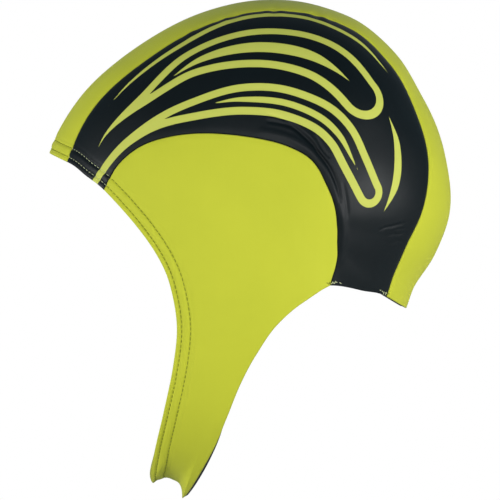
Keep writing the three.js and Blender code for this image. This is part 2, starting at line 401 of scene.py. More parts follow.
# ---- grids of the panels
# A panel's rows run from the face edge (first) to the nape or jaw edge (last), its columns from seam to seam.
hem = {
    "thickness": 5.4,
    # how deep the inner face lies at distances from the face edge: the turned-in cloth ends at 9 mm
    "depths": np.array([(0, 5.4), (9.0, 5.28), (9.1, 5.05), (9.25, 3.35), (9.35, 3.0)]),
    "stitchRows": (2.5, 6.8),  # from the face edge
    "foldDepth": 0.55,  # of the fold's foremost line below the outer face
    "foldReach": 0.65,  # how far from the edge the rounding begins, outside
    "foldReachInside": 3.2,
    "roomAtFold": 0.4,  # the share of the seams' relief at the fold, where there is no room for all of it
    "grooveDepth": 0.42,
    "grooveWidth": 0.6,
    "grooveInside": 0.6,  # share of the grooves on the inner face
    "grooveFrom": (0.3, 1.5),  # the grooves begin and are whole here, so that the fold itself has none
    "pucker": 0.13,
    "swell": 0.16,  # of the cloth between the rows
    "step": 0.13,  # the outside sinks past the turned-in edge
    "stepWidth": 3.4,
}
cloth = {
    "wall": 3.0,
    "seamRound": 0.65,
    "seamDip": 0.28,
    "seamDipReach": 1.9,
    "seamInside": 0.7,  # share of the seams' relief on the inner face
    "cutRound": 0.22,
    "sway": 0.22,  # slow unevenness of the whole surface, which begins past the hem
    "swayFrom": 10.0,
    "creaseInside": 0.5,  # share of the creases on the inner face
}
hemRows = np.array([
    0, 0.12, 0.35, 0.7, 1.15, 1.6, 2.0, 2.3, 2.5, 2.7, 3.0, 3.5, 4.1, 4.65, 5.2, 5.8, 6.3, 6.6, 6.8, 7.0, 7.3,
    7.8, 8.3, 8.65, 8.85, 9.0, 9.1, 9.25, 9.35, 9.7, 10.3, 11.2,
])
cutRows = np.array([1.7, 1.25, 0.85, 0.5, 0.25, 0.1, 0.0])  # distances from the nape or jaw edge
seamColumns = np.array([0, 0.1, 0.25, 0.45, 0.7, 1.0, 1.45, 2.0, 2.7])


# Shares of the width: close together beside the seams and even between them.
# crowding: above 1, they are also closer together towards the last seam.
def columnShares(width, spacing, crowding):
    even = np.linspace(1, 0, int(round(width / spacing)))
    middle = width - seamColumns[-1] - (width - 2 * seamColumns[-1]) * even**crowding
    return np.concatenate([seamColumns[:-1], middle, width - seamColumns[-2::-1]]) / width


# Every place of a line walks straight on over the form, by the hem's distances. It sets out at right angles
# to the line, and at each step its heading is turned flat onto the form again.
def walkInward(start):
    lines = [start]
    east, north = formSlopes(start)
    heading = np.cross(np.cross(east, north), np.gradient(formPoint(start), axis=0))
    for step in np.diff(hemRows):
        east, north = formSlopes(lines[-1])
        normal = unit(np.cross(east, north))
        heading = unit(heading - (heading * normal).sum(-1, keepdims=True) * normal)
        a, b, c = (east * east).sum(-1), (east * north).sum(-1), (north * north).sum(-1)
        p, q = step * (east * heading).sum(-1), step * (north * heading).sum(-1)
        lines.append(lines[-1] + np.stack([c * p - b * q, a * q - b * p], -1) / (a * c - b * b)[..., None])
    return np.array(lines)


pastEnds = {"brow": 60, "chin": 20}  # how many places of the face edge go on past its ends


# The face edge from one end of its outline to the other, about a millimetre apart, and mirrored past both
# ends. A place on it is told by the outline's points: 0 is the brow's middle, 1 the strip's seam, and so on.
def wholeHem():
    last = len(faceEdge) - 1
    places = np.linspace(0, last, lineCounts["walk"])
    brow = stripLine(np.zeros(places.shape), np.minimum(places, 1))
    line = np.where((places < 1)[:, None], brow, outline(faceEdge)(places / last))
    lengths = lengthsAlong(formPoint(line))
    even = np.linspace(0, lengths[-1], int(lengths[-1]) + 1)
    places = np.interp(even, lengths, places)
    line = np.stack([np.interp(even, lengths, line[:, k]) for k in (0, 1)], -1)
    radius = np.linalg.norm(line, axis=1, keepdims=True)
    otherSide = line * (2 - radius) / radius
    before, after = slice(pastEnds["brow"], 0, -1), slice(-2, -2 - pastEnds["chin"], -1)
    places = np.concatenate([-places[before], places, 2 * last - places[after]])
    return places, walkInward(np.concatenate([otherSide[before], line, otherSide[after]]))


hemPlaces, hemGridLines = wholeHem()


def hemPart(places):
    line = smoothLine(np.moveaxis(hemGridLines, 0, 1))
    return np.moveaxis(line(np.interp(places, hemPlaces, np.arange(len(hemPlaces)))), 1, 0)


sideLineShares = np.linspace(0, 1, 3000)
pastHem = 16.0  # farther from the face edge than any row of the hem


# Places on a side line where it is as far from the face edge as the hem's rows.
def placesInHem(line):
    t = sideLineShares
    distance, _ = distanceToLine(formPoint(line(t)), wholeFaceEdge)
    upTo = int(np.argmax(distance > pastHem)) or len(t)
    return np.interp(hemRows, np.maximum.accumulate(distance[:upTo]), t[:upTo])


# Evenly spaced places on the rest of a side line, then the rows beside the cut edge.
def placesPastHem(line, start, count):
    t = sideLineShares
    lengths = lengthsAlong(formPoint(line(t)))
    begin, whole = np.interp(start, t, lengths), lengths[-1]
    even = begin + (whole - cutRows[0] - begin) * np.linspace(0, 1, count)
    return np.interp(np.concatenate([even, whole - cutRows[1:]]), lengths, t)


sideBend = 12.0  # the hem's grid bends to the side lines over this


# The hem's rows, then a grid between four lines: the mix of opposite lines, less the mix of the corners.
# Down the columns the top line's part is the share left to the power topFade, the bottom line's is the rest.
def panelGrid(top, bottom, edgePart, back, shares, rowCount, topFade):
    hemGrid = hemPart(edgePart[0] + (edgePart[1] - edgePart[0]) * shares)
    across = lengthsAlong(formPoint(hemGrid), axis=1)
    ends = []
    for line, away, column in ((top, across, 0), (bottom, across[:, -1:] - across, -1)):
        places = placesInHem(line)
        fade = ease(1 - away / sideBend)
        ends.append((fade[..., None] * (line(places) - hemGrid[:, column])[:, None], places[-1]))
    hemGrid = hemGrid + ends[0][0] + ends[1][0]
    topPoints = top(placesPastHem(top, ends[0][1], rowCount))
    bottomPoints = bottom(placesPastHem(bottom, ends[1][1], rowCount))
    frontPoints, backPoints = hemGrid[-1], back(shares)
    share = sum(np.linalg.norm(line - line[0], axis=1) for line in (topPoints, bottomPoints))
    u, v = (share / share[-1])[:, None, None], 1 - (1 - shares[None, :, None]) ** topFade
    corners = (
        (topPoints[0] * (1 - u) + topPoints[-1] * u) * (1 - v)
        + (bottomPoints[0] * (1 - u) + bottomPoints[-1] * u) * v
    )
    sides = topPoints[:, None] * (1 - v) + bottomPoints[:, None] * v
    rest = sides + frontPoints[None] * (1 - u) + backPoints[None] * u - corners
    return np.concatenate([hemGrid[:-1], rest])


def hemRow(distance):
    return int(np.argmin(np.abs(hemRows - distance)))


# The surface, its normals and the distances from its edges. stitchRuns: how far along each of the hem's
# stitch rows each column is. clothMap: millimetres down and across the cloth.
def measuredPanel(grid, top, bottom, back):
    surface = formPoint(grid)
    t = np.linspace(0, 1, lineCounts["edge"])
    panel = {
        "surface": surface,
        "normal": formNormal(grid, wallDrop),
        "fromFace": distanceToLine(surface, wholeFaceEdge)[0],
        "stitchRuns": [lengthsAlong(surface[hemRow(row)]) for row in hem["stitchRows"]],
        "clothMap": np.stack([lengthsAlong(surface, 0), lengthsAlong(surface, 1)], -1),
    }
    for label, line in (("fromTop", top), ("fromBottom", bottom), ("fromCut", back)):
        panel[label] = distanceToLine(surface, formPoint(line(t)))[0]
    panel["fromFace"][: len(hemRows)] = hemRows[:, None]
    panel["fromTop"][:, 0] = panel["fromBottom"][:, -1] = panel["fromCut"][-1] = 0
    return panel


# spacing: from column to column, of the width; rows: past the hem
panelGrids = {
    "strip": {"width": 66.0, "spacing": 0.85, "rows": 325, "topFade": 1.0, "crowding": 1.0},
    "side": {"width": 47.0, "spacing": 0.53, "rows": 395, "topFade": 1.0, "crowding": 1.35},
    "ear": {"width": 160.0, "spacing": 0.8, "rows": 125, "topFade": 3.0, "crowding": 1.0},
}


def gridOf(kind, top, bottom, edgePart, back):
    size = panelGrids[kind]
    shares = columnShares(size["width"], size["spacing"], size["crowding"])
    grid = panelGrid(top, bottom, edgePart, back, shares, size["rows"], size["topFade"])
    return measuredPanel(grid, top, bottom, back)


# The strip's nape end, and the seam under the chin from the face edge to the jaw edge.
def stripEnd(shares):
    return stripLine(np.ones_like(shares), 2 * shares - 1)


def chinLine(t):
    first, last = faceEdge[-1][1], jawEdge[-1][1]
    return onDisc(first + (last - first) * np.asarray(t, float), 1.0)


strip = gridOf("strip", lambda t: stripLine(t, -1.0), lambda t: stripLine(t, 1.0), (-1, 1), stripEnd)
sidePanel = gridOf("side", lambda t: stripLine(t, 1.0), outline(earSeam), (1, 3), outline(napeEdge, 1))
earPanel = gridOf("ear", outline(earSeam), chinLine, (3, len(faceEdge) - 1), outline(jawEdge))
earPanel["clothMap"] = earPanel["surface"][..., [2, 1]]  # it hardly bends, so this is its flat pattern

# The stitches are counted from the middle of the brow, so each panel knows how far along the row it begins.
halfStrip = [run[-1] / 2 for run in strip["stitchRuns"]]
strip["stitchRuns"] = [np.abs(run - half) for run, half in zip(strip["stitchRuns"], halfStrip)]
sidePanel["stitchRuns"] = [run + half for run, half in zip(sidePanel["stitchRuns"], halfStrip)]
earPanel["stitchRuns"] = [
    run + before[-1] for run, before in zip(earPanel["stitchRuns"], sidePanel["stitchRuns"])
]
stitchPitch = 2.4  # from one stitch to the next, trimmed so that whole stitches meet under the chin
rowPitches = [run[-1] / round(run[-1] / stitchPitch) for run in earPanel["stitchRuns"]]
print("panel grids", [p["surface"].shape[:2] for p in (strip, sidePanel, earPanel)])

# ---- relief of the cloth


# Quarter of an ellipse: height times (1 - the root of 1 - the square of the share of the reach left).
def roundedEdge(distance, height, width):
    left = np.clip(1 - distance / width, 0, 1)
    return height * (1 - np.sqrt(1 - left * left))


# Slow waves over the head: sines of three slanted directions, from 26 to 60 mm long.
def slowSway(point):
    directions = np.array([(0.9, 1.4, 0.7), (-1.1, 0.6, 1.9), (0.5, -2.1, 1.1)]) / 10
    phases = np.array([0.4, 2.1, 4.4])
    return np.sin(point @ directions.T + phases).sum(-1) / 3


# Sum of bells across each row, deeper by the pucker where a needle went in.
def stitchGrooves(panel):
    total = 0
    for row, run, pitch in zip(hem["stitchRows"], panel["stitchRuns"], rowPitches):
        bell = np.exp(-(((panel["fromFace"] - row) / hem["grooveWidth"]) ** 2))
        total += bell * (hem["grooveDepth"] + hem["pucker"] * np.cos(2 * np.pi * run / pitch))
    return total


# The cloth swells between the stitch rows and sinks past them: two squares of a half sine.
def hemSwell(distance):
    first, second = hem["stitchRows"]
    between = np.clip((distance - first) / (second - first), 0, 1)
    fall = np.clip((distance - second) / hem["stepWidth"], 0, 1)
    return hem["swell"] * np.sin(np.pi * between) ** 2 - hem["step"] * np.sin(np.pi * fall) ** 2


# Creases on the side panels: knots in the side view, how deep and how wide (a puffed ridge is below 0).
# Each fades out at its ends.
creases = {
    "behindEar": {"depth": 1.25, "width": 1.0, "knots": [
        (-2.0, -55.9), (4.5, -56.8), (10.7, -58.8), (15.7, -62.9), (20.0, -67.1), (21.9, -70.3),
        (25.3, -74.6), (28.5, -79.9), (31.0, -86.5), (32.6, -94.0)]},
    "puffBehindEar": {"depth": -0.85, "width": 1.9, "knots": [
        (-6.0, -60.6), (3.0, -62.2), (9.5, -64.2), (14.6, -67.2), (19.2, -70.8), (22.9, -75.6), (26.6, -80.8),
        (29.6, -88.0), (32.6, -98.0), (33.8, -110.0), (33.4, -122.0)]},
    "aboveEar": {"depth": 0.75, "width": 0.8, "knots": [
        (-2.0, -52.6), (2.0, -53.4), (6.5, -55.3), (11.5, -58.0)]},
    "besideCrease": {"depth": 0.75, "width": 0.8, "knots": [
        (20.6, -62.6), (22.4, -66.0), (24.8, -70.0), (27.4, -73.2)]},
    "behindSeam": {"depth": 0.4, "width": 0.8, "knots": [(33.6, -84.0), (35.2, -92.0), (35.9, -101.0)]},
    "napeUpper": {"depth": 0.42, "width": 0.6, "knots": [
        (50.4, -106.9), (53.6, -105.3), (57.2, -104.6), (63.0, -103.0)]},
    "napeMiddle": {"depth": 0.36, "width": 0.55, "knots": [
        (54.6, -109.3), (57.4, -108.2), (60.0, -108.4), (64.0, -107.2)]},
    "napeShort": {"depth": 0.3, "width": 0.5, "knots": [(58.0, -106.4), (60.4, -105.9), (63.6, -105.6)]},
    "napeLower": {"depth": 0.22, "width": 0.7, "knots": [(56.0, -112.8), (59.2, -111.6), (63.0, -111.6)]},
}
# the puff beside a crease, and how the other panel's knots are moved: turns from crease to crease and from
# knot to knot, and how far they go down for each millimetre back
creaseForm = {"puff": 0.3, "puffWidth": 3.0, "moves": (2.4, 1.7), "moveDown": 0.6}
# waves beside the strip's seams, from one y to another; their length and height waver at these shares of the
# wave's own turn
crownPucker = {
    "begin": -48.0,
    "end": 44.0,
    "fadeOver": 14.0,
    "height": 0.28,
    "pitch": 9.0,
    "reach": 5.0,
    "lengthWaver": 0.31,
    "waverBy": 0.8,
    "heightWaver": 0.43,
}
# the strap's cut edge is slanted from one height to another: its outer face stands back, its inner face
# juts out
strapEnd = {"begin": -190.0, "end": -224.0, "outer": 0.1, "inner": -1.7, "reach": 5.0, "rows": 20}


def lineOverForm(knots, count):
    flat = np.array([discFromSideView(*np.array(knot, float)) for knot in knots])
    return formPoint(smoothLine(flat)(np.linspace(0, len(flat) - 1, count)))


# Each crease is a bell across its line, less a share of a wider one that puffs up the cloth beside it,
# times the root of a half sine along it. moved: how far each knot goes to its own side, for the other panel.
def creaseDepth(panel, moved=0.0):
    total = 0
    turnBetween, turnAlong = creaseForm["moves"]
    for k, crease in enumerate(creases.values()):
        move = moved * np.sin(turnBetween * k + np.arange(len(crease["knots"])) * turnAlong)
        knots = [(y + step, z - creaseForm["moveDown"] * step) for (y, z), step in zip(crease["knots"], move)]
        distance, share = distanceToLine(panel["surface"], lineOverForm(knots, lineCounts["crease"]))
        across = distance / crease["width"]
        bell = np.exp(-(across**2)) - creaseForm["puff"] * np.exp(-((across / creaseForm["puffWidth"]) ** 2))
        total += crease["depth"] * bell * np.sqrt(np.clip(np.sin(np.pi * share), 0, 1))
    return total


# A sine whose length and height waver slowly along the seam. It fades away from the seam and towards both
# ends of its stretch. shift: in millimetres along it
def puckerDepth(panel, fromSeam, shift=0.0):
    y = panel["surface"][..., 1]
    fadeOver = crownPucker["fadeOver"]
    window = ease((y - crownPucker["begin"]) / fadeOver) * ease((crownPucker["end"] - y) / fadeOver)
    turn = 2 * np.pi * (y + shift) / crownPucker["pitch"]
    wave = np.sin(turn + crownPucker["waverBy"] * np.sin(crownPucker["lengthWaver"] * turn))
    wave = wave * (0.5 + 0.5 * np.sin(crownPucker["heightWaver"] * turn + 1.0))
    return crownPucker["height"] * window * wave * np.exp(-((fromSeam / crownPucker["reach"]) ** 2))


# The outer and the inner face: the surface less how far each is below it along the normal. extra: creases
def reliefOf(panel, extra=0.0):
    fromFace, fromCut = panel["fromFace"], panel["fromCut"]
    nose = roundedEdge(fromFace, hem["foldDepth"], hem["foldReach"])
    noseInside = roundedEdge(fromFace, hem["thickness"] - hem["foldDepth"], hem["foldReachInside"])
    depth = np.interp(fromFace, *hem["depths"].T) - noseInside
    room = np.clip((depth - nose) / cloth["wall"], 0, 1)
    room = room * np.interp(fromFace, hem["depths"][:2, 0], [hem["roomAtFold"], 1])
    seams = sum(
        roundedEdge(panel[side], cloth["seamRound"], cloth["seamRound"])
        + cloth["seamDip"] * np.exp(-((panel[side] / cloth["seamDipReach"]) ** 2))
        for side in ("fromTop", "fromBottom")
    )
    cut = roundedEdge(fromCut, cloth["cutRound"], cloth["cutRound"])
    begin, whole = hem["grooveFrom"]
    grooves = stitchGrooves(panel) * np.clip((fromFace - begin) / (whole - begin), 0, 1)
    sway = cloth["sway"] * slowSway(panel["surface"]) * ease(fromFace / cloth["swayFrom"])
    drop = nose + room * seams + cut + grooves - hemSwell(fromFace) - sway + extra
    depth = depth - room * seams * cloth["seamInside"] - cut - hem["grooveInside"] * grooves - sway
    depth = depth + cloth["creaseInside"] * extra
    back = unit(panel["surface"][-strapEnd["rows"]] - panel["surface"][-1])  # up from the cut edge
    lean = ease((panel["surface"][..., 2] - strapEnd["begin"]) / (strapEnd["end"] - strapEnd["begin"]))
    lean = (lean * np.clip(1 - fromCut / strapEnd["reach"], 0, 1) ** 2)[..., None] * back
    relief = dict(panel)
    relief["outer"] = panel["surface"] - panel["normal"] * drop[..., None] + lean * strapEnd["outer"]
    relief["inner"] = panel["surface"] - panel["normal"] * depth[..., None] + lean * strapEnd["inner"]
    return relief


# ---- materials
colours = {
    "lime": (0.57, 0.585, 0.038, 1),
    "limeDeep": (0.50, 0.525, 0.030, 1),
    "black": (0.0008, 0.0030, 0.0042, 1),
    "blackWorn": (0.0018, 0.0050, 0.0065, 1),
    "printLime": (0.57, 0.59, 0.105, 1),
    "printDeep": (0.51, 0.54, 0.09, 1),
    "lining": (0.016, 0.018, 0.020, 1),
    "liningWorn": (0.030, 0.033, 0.036, 1),
    "foam": (0.010, 0.011, 0.012, 1),
    "foamPale": (0.030, 0.031, 0.032, 1),
    # thread: the pale thread darkened, a painted shade for the stitches sunk into the lime
    "thread": (0.25, 0.28, 0.02, 1),
    "threadPale": (0.60, 0.63, 0.36, 1),
}


# inputs: a number under each one's name, or None for a place
def newGroup(name, inputs, outputs):
    group = bpy.data.node_groups.new(name, "ShaderNodeTree")
    for label, value in inputs.items():
        kind = "NodeSocketVector" if value is None else "NodeSocketFloat"
        socket = group.interface.new_socket(label, in_out="INPUT", socket_type=kind)
        if value is not None:
            socket.default_value = value
    for label in outputs:
        group.interface.new_socket(label, in_out="OUTPUT", socket_type="NodeSocketFloat")
    return group, addNode(group, "NodeGroupInput"), addNode(group, "NodeGroupOutput")


def calculate(tree, operation, *values, clamp=False):
    inputs = dict(enumerate(values))
    return addNode(tree, "ShaderNodeMath", inputs, operation=operation, use_clamp=clamp).outputs[0]


# The height of a row of half-round ridges: the sine of pi times the place, turned up where it is below 0.
def waveOf(tree, place):
    return calculate(tree, "ABSOLUTE", calculate(tree, "SINE", calculate(tree, "MULTIPLY", place, 3.14159)))


# how high the ribs and the loops stand, how many rows a loop slants by, and the power that bends its shade
knitForm = {"ribs": 0.7, "loops": 0.3, "slant": 1.1, "shadePower": 0.6}
wearAndShadeForm = {"least": 0.6, "fleck": 0.8}  # how whole the edge mask (painted shade on the lime, wear on the black) is where the flecks are 0, and their share


# Knitted jersey: rounded ribs, each cut into loops that slant to both sides of the rib.
def makeKnit():
    inputs = {"Place": None, "Wale": 0.55, "Course": 0.42}
    group, given, result = newGroup("jerseyKnit", inputs, ["Height", "Shade"])
    parts = addNode(group, "ShaderNodeSeparateXYZ", {0: given.outputs["Place"]})
    ribs = calculate(group, "DIVIDE", parts.outputs["Y"], given.outputs["Wale"])
    rows = calculate(group, "DIVIDE", parts.outputs["X"], given.outputs["Course"])
    slant = calculate(group, "PINGPONG", ribs, 0.5)
    loops = calculate(group, "MULTIPLY_ADD", slant, knitForm["slant"], rows)
    turned = calculate(group, "MULTIPLY", loops, 6.28319)  # a whole turn for each loop
    loopHeight = calculate(group, "SINE", turned)
    loopHeight = calculate(group, "MULTIPLY_ADD", loopHeight, knitForm["loops"], knitForm["ribs"])
    height = calculate(group, "MULTIPLY", waveOf(group, ribs), loopHeight)
    group.links.new(height, result.inputs["Height"])
    group.links.new(calculate(group, "POWER", height, knitForm["shadePower"]), result.inputs["Shade"])
    return group


# Cloudy unevenness, slow and fine, from 0 to 1.
def makeMottle():
    inputs = {"Place": None, "Slow": 28.0, "Fine": 700.0}
    group, given, result = newGroup("clothMottle", inputs, ["Cloud", "Fleck"])
    for label, scale, detail in (("Cloud", "Slow", 3.0), ("Fleck", "Fine", 2.0)):
        noiseInputs = {"Vector": given.outputs["Place"], "Scale": given.outputs[scale], "Detail": detail}
        noise = addNode(group, "ShaderNodeTexNoise", noiseInputs)
        group.links.new(noise.outputs[0], result.inputs[label])
    return group


# 1 at an edge, falling to 0 at the given reach, broken up a little so that it doesn't look ruled. On the lime
# it is a painted shade beside the seams, the cut edges and the strap's fold; the black lightens there as
# wear, and the lining darkens.
def makeEdgeWearAndShade():
    inputs = {"Distance": 0.0, "Reach": 1.0, "Fleck": 0.5}
    group, given, result = newGroup("edgeWearAndShade", inputs, ["Mask"])
    share = calculate(group, "DIVIDE", given.outputs["Distance"], given.outputs["Reach"])
    near = calculate(group, "SUBTRACT", 1.0, share, clamp=True)
    uneven = calculate(group, "MULTIPLY_ADD", given.outputs["Fleck"], wearAndShadeForm["fleck"], wearAndShadeForm["least"])
    mask = calculate(group, "MULTIPLY", calculate(group, "MULTIPLY", near, near), uneven)
    group.links.new(mask, result.inputs["Mask"])
    return group


knitGroup, mottleGroup, wearAndShadeGroup = makeKnit(), makeMottle(), makeEdgeWearAndShade()


def useGroup(tree, group, inputs):
    return addNode(tree, "ShaderNodeGroup", inputs, node_tree=group)


def attributeValue(tree, name):
    return addNode(tree, "ShaderNodeAttribute", attribute_name=name).outputs["Fac"]


def objectPlace(tree):
    return addNode(tree, "ShaderNodeTexCoord").outputs["Object"]


# distance and strength: of the bumps that the height makes
def feedSurface(tree, surface, colour, rough, height, distance, strength=1.0):
    bump = addNode(tree, "ShaderNodeBump", {"Strength": strength, "Distance": distance, "Height": height})
    for socket, value in (("Base Color", colour), ("Roughness", rough), ("Normal", bump.outputs[0])):
        tree.links.new(value, surface.inputs[socket])


edgeWearAndShadeReach = 0.9
printInk = {"softEdge": 0.07, "depth": 0.03, "knitLeft": 0.8, "rougher": 0.2}


# The cloth's own map is in millimetres, so its knit has one size on every panel, and so are the heights.
# knitShade: how much darker the loops are than the gaps between them; ink: of a print on the cloth
def jerseyMaterial(name, light, dark, finish, ink=None):
    material, tree, surface = newMaterial(name, finish["shader"])
    clothMap = addNode(tree, "ShaderNodeUVMap", uv_map="clothMap").outputs[0]
    knit = useGroup(tree, knitGroup, {"Place": clothMap, "Wale": finish["wale"], "Course": finish["course"]})
    mottle = useGroup(tree, mottleGroup, {"Place": objectPlace(tree)})
    cloud, fleck = mottle.outputs["Cloud"], mottle.outputs["Fleck"]
    fromEdge = attributeValue(tree, "edgeDistance")
    wearAndShade = useGroup(tree, wearAndShadeGroup, {"Distance": fromEdge, "Reach": edgeWearAndShadeReach, "Fleck": fleck})
    colour = mixColour(tree, cloud, dark, light)
    shade = calculate(tree, "MULTIPLY", knit.outputs["Shade"], finish["knitShade"])
    colour = mixColour(tree, shade, colour, (0, 0, 0, 1))
    height = calculate(tree, "MULTIPLY", knit.outputs["Height"], finish["knitDepth"])
    rough = calculate(tree, "MULTIPLY_ADD", cloud, finish["roughRange"], finish["roughLow"])
    if ink:
        distance = attributeValue(tree, "printDistance")
        edge = {"Value": distance, "From Min": ink["softEdge"], "From Max": -ink["softEdge"]}
        inside = addNode(tree, "ShaderNodeMapRange", edge).outputs[0]
        printed = mixColour(tree, cloud, colours["printDeep"], colours["printLime"])
        colour = mixColour(tree, inside, colour, printed)
        height = calculate(tree, "MULTIPLY", height, ink["knitLeft"])
        height = calculate(tree, "MULTIPLY_ADD", inside, ink["depth"], height)
        rough = calculate(tree, "MULTIPLY_ADD", inside, ink["rougher"], rough)
    # towards the edges: painted shade on the lime, lighter wear on the black, a darker lining
    wornAndShaded = calculate(tree, "MULTIPLY", wearAndShade.outputs["Mask"], finish["wearAndShade"])
    colour = mixColour(tree, wornAndShaded, colour, finish["wornAndShadedColour"])
    feedSurface(tree, surface, colour, rough, height, 0.001)
    return material


limeFinish = {
    "shader": {"Specular IOR Level": 0.18, "Sheen Weight": 0.07, "Sheen Roughness": 0.4},
    "wale": 0.56,
    "course": 0.44,
    "knitShade": 0.06,
    "knitDepth": 0.035,
    "roughLow": 0.62,
    "roughRange": 0.16,
    # the painted shade towards the lime's edges and the strap's fold: how strong, and its colour
    "wearAndShade": 0.45,
    "wornAndShadedColour": (0.12, 0.14, 0.02, 1),
}
blackFinish = {
    "shader": {"Specular IOR Level": 0.22, "Sheen Weight": 0.004, "Sheen Roughness": 0.35},
    "wale": 0.52,
    "course": 0.40,
    "knitShade": 0.05,
    "knitDepth": 0.022,
    "roughLow": 0.39,
    "roughRange": 0.12,
    # the black's edge wear: how strong, and its lighter colour
    "wearAndShade": 0.25,
    "wornAndShadedColour": (0.006, 0.007, 0.008, 1),
}
liningFinish = {
    "shader": {"Specular IOR Level": 0.3, "Sheen Weight": 0.15, "Sheen Roughness": 0.5},
    "wale": 0.62,
    "course": 0.48,
    "knitShade": 0.15,
    "knitDepth": 0.05,
    "roughLow": 0.70,
    "roughRange": 0.15,
    "wearAndShade": 0.2,
    "wornAndShadedColour": (0.006, 0.006, 0.007, 1),
}


foamFinish = {
    "shader": {"Specular IOR Level": 0.25},
    "cells": 3600.0,
    "mottle": {"Slow": 260.0, "Fine": 2400.0},
    "paleShare": 0.7,
    "roughLow": 0.78,
    "roughRange": 0.15,
    "relief": (0.0002, 0.8),
}
threadFinish = {
    "shader": {"Specular IOR Level": 0.2},
    "plies": 2.0,
    "winding": 2.2,  # ridges passed for each millimetre along it
    "mottle": {"Slow": 60.0, "Fine": 1500.0},
    "deep": 0.62,  # how bright it is between the plies, a painted shade
    "plyShade": 0.6,
    "fleckShade": 0.4,
    "roughLow": 0.5,
    "roughRange": 0.15,
    "relief": (0.00006, 0.7),
}


# Cut foam: closed cells of two sizes, dark, with a few pale cell walls.
def foamMaterial(finish):
    material, tree, surface = newMaterial("cutFoam", finish["shader"])
    place = objectPlace(tree)
    cells = addNode(tree, "ShaderNodeTexVoronoi", {"Vector": place, "Scale": finish["cells"]})
    mottle = useGroup(tree, mottleGroup, {"Place": place, **finish["mottle"]})
    pale = calculate(tree, "MULTIPLY", mottle.outputs["Fleck"], finish["paleShare"])
    colour = mixColour(tree, pale, colours["foam"], colours["foamPale"])
    rough = calculate(tree, "MULTIPLY_ADD", mottle.outputs["Cloud"], finish["roughRange"], finish["roughLow"])
    feedSurface(tree, surface, colour, rough, cells.outputs["Distance"], *finish["relief"])
    return material


# Twisted polyester thread: its plies wind round it, seen as slanted ridges, with a painted shade between
# them.
def threadMaterial(name, colour, finish):
    material, tree, surface = newMaterial(name, finish["shader"])
    threadMap = addNode(tree, "ShaderNodeUVMap", uv_map="threadMap").outputs[0]
    parts = addNode(tree, "ShaderNodeSeparateXYZ", {0: threadMap})
    around = calculate(tree, "MULTIPLY", parts.outputs["Y"], finish["plies"])
    ply = waveOf(tree, calculate(tree, "MULTIPLY_ADD", parts.outputs["X"], finish["winding"], around))
    mottle = useGroup(tree, mottleGroup, {"Place": objectPlace(tree), **finish["mottle"]})
    fleck = calculate(tree, "MULTIPLY", mottle.outputs["Fleck"], finish["fleckShade"])
    shade = calculate(tree, "MULTIPLY_ADD", ply, finish["plyShade"], fleck, clamp=True)
    deep = tuple(finish["deep"] * c for c in colour[:3]) + (1,)
    rough = calculate(tree, "MULTIPLY_ADD", mottle.outputs["Cloud"], finish["roughRange"], finish["roughLow"])
    feedSurface(tree, surface, mixColour(tree, shade, deep, colour), rough, ply, *finish["relief"])
    return material


limeJersey = jerseyMaterial("limeJersey", colours["lime"], colours["limeDeep"], limeFinish)
blackJersey = jerseyMaterial("blackJersey", colours["black"], colours["blackWorn"], blackFinish, printInk)
liningJersey = jerseyMaterial("liningJersey", colours["lining"], colours["liningWorn"], liningFinish)
cutFoam = foamMaterial(foamFinish)
shadedThread = threadMaterial("shadedThread", colours["thread"], threadFinish)
paleThread = threadMaterial("paleThread", colours["threadPale"], threadFinish)
print("materials made")

# ---- meshes
sharpFrom = 55.0  # degrees


# faces: the quads and the triangles; finishes: the material's number of each quad and of each triangle;
# mapPlaces: a place for each point on the named map; values: named numbers for each point
def makeMesh(name, points, faces, finishes, materials, mapName, mapPlaces, values=()):
    mesh = bpy.data.meshes.new(name)
    corners = np.concatenate([part.ravel() for part in faces]).astype(np.int32)
    sizes = np.concatenate([np.full(len(part), part.shape[1]) for part in faces])
    mesh.vertices.add(len(points))
    mesh.vertices.foreach_set("co", (points * 0.001).astype(np.float32).ravel())
    mesh.loops.add(len(corners))
    mesh.loops.foreach_set("vertex_index", corners)
    mesh.polygons.add(len(sizes))
    mesh.polygons.foreach_set("loop_start", np.concatenate([[0], np.cumsum(sizes)[:-1]]).astype(np.int32))
    mesh.polygons.foreach_set("material_index", np.concatenate(finishes).astype(np.int32))
    mesh.update(calc_edges=True)
    mesh.uv_layers.new(name=mapName).data.foreach_set("uv", mapPlaces[corners].astype(np.float32).ravel())
    for label, numbers in dict(values).items():
        mesh.attributes.new(label, "FLOAT", "POINT").data.foreach_set("value", numbers.astype(np.float32))
    mesh.shade_smooth()
    mesh.set_sharp_from_angle(angle=np.radians(sharpFrom))
    for material in materials:
        mesh.materials.append(material)
    mesh.validate()
    return addToScene(bpy.data.objects.new(name, mesh))


# the cut foam between the faces: share of the wall's depth, how far it is sunk
wallLayers = np.array([(0.09, 0.0), (0.11, 0.1), (0.5, 0.16), (0.89, 0.1), (0.91, 0.0)])
outerFace, innerFace, foamFace = 0, 1, 2
foldShade = {"heights": (-215.0, -190.0), "off": 2.0}  # the lime's painted edge shade reaches the strap's fold below these heights


def quadsOf(index):
    return np.stack([index[:-1, :-1], index[:-1, 1:], index[1:, 1:], index[1:, :-1]], -1).reshape(-1, 4)


